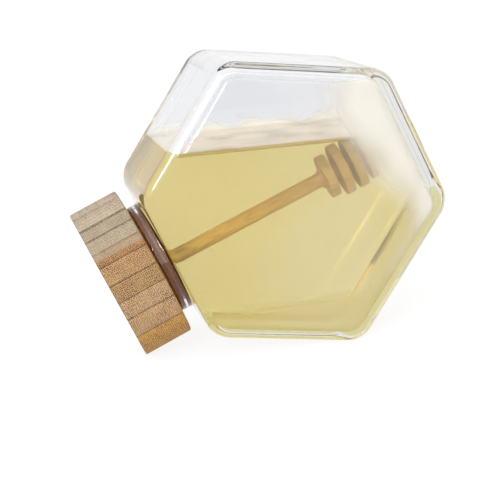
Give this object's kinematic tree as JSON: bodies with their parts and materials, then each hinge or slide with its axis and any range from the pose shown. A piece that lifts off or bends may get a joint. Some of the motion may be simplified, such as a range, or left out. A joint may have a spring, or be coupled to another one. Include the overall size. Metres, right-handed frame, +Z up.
{
  "type": "glass honey jar with dipper",
  "caption": "Hexagonal glass jar of honey lying on its side, shut with a thick round bamboo lid that holds a wooden honey dipper.",
  "frame": {"origin": "on the ground, at the centre of the footprint of the lying jar", "axes": "+Z up, +X from the lid towards the jar's base, -Y out of the window face that is seen from the front"},
  "size_m": [0.1345, 0.0588, 0.1072],
  "materials": {
    "jar_glass": "clear moulded soda-lime glass",
    "honey": "clear pale golden honey",
    "laminated_bamboo": "sanded, lightly oiled laminated bamboo",
    "clear_silicone": "translucent silicone",
    "turned_beech": "turned, sanded wood"
  },
  "bodies": {
    "root": {"glass_jar": "jar_glass", "honey": "honey", "bamboo_lid": "laminated_bamboo", "seal_ring": "clear_silicone", "dipper": "turned_beech"}
  },
  "joints": []
}
